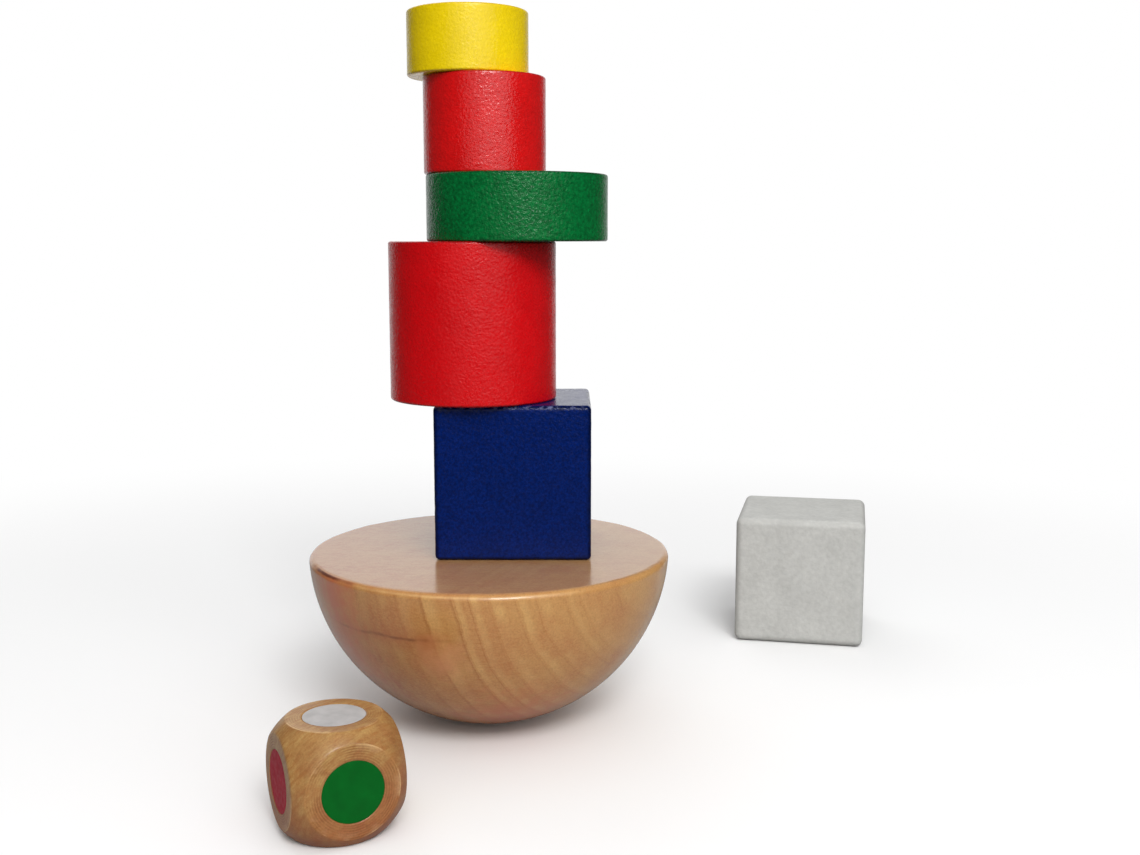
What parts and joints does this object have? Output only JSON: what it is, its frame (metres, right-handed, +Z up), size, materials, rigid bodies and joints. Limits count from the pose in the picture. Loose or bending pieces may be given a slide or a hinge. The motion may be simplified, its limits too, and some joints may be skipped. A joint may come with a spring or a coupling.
{
  "type": "stacking balance game",
  "caption": "Wooden balancing game: a round-bottomed base with a flat top that carries a leaning tower of painted cube, cylinder and disc blocks, beside a loose white cube and a colour die.",
  "frame": {"origin": "where the round base touches the table, under the middle of its flat top", "axes": "+Z up from the table, +Y away from the player's side that the picture shows, +X to that side's right"},
  "size_m": [0.1682, 0.1897, 0.1843],
  "materials": {
    "beech_base": "clear varnish over turned beech, satin",
    "blue_paint": "satin paint over wood, worn on the edges",
    "red_paint": "satin paint over wood",
    "green_paint": "satin paint over wood",
    "yellow_paint": "satin paint over wood",
    "white_paint": "matt off-white paint over wood",
    "beech_die": "turned beech, waxed",
    "spot_white": "hot-pressed paint film",
    "spot_green": "hot-pressed paint film",
    "spot_blue": "hot-pressed paint film",
    "spot_yellow": "hot-pressed paint film",
    "spot_red": "hot-pressed paint film"
  },
  "bodies": {
    "root": {"round_base": "beech_base", "blue_cube": "blue_paint", "large_red_cylinder": "red_paint", "green_disc": "green_paint", "small_red_cylinder": "red_paint", "yellow_disc": "yellow_paint", "white_cube": "white_paint", "die": "beech_die", "die_spot_white": "spot_white", "die_spot_green": "spot_green", "die_spot_blue": "spot_blue", "die_spot_yellow": "spot_yellow", "die_spot_red": "spot_red"}
  },
  "joints": []
}
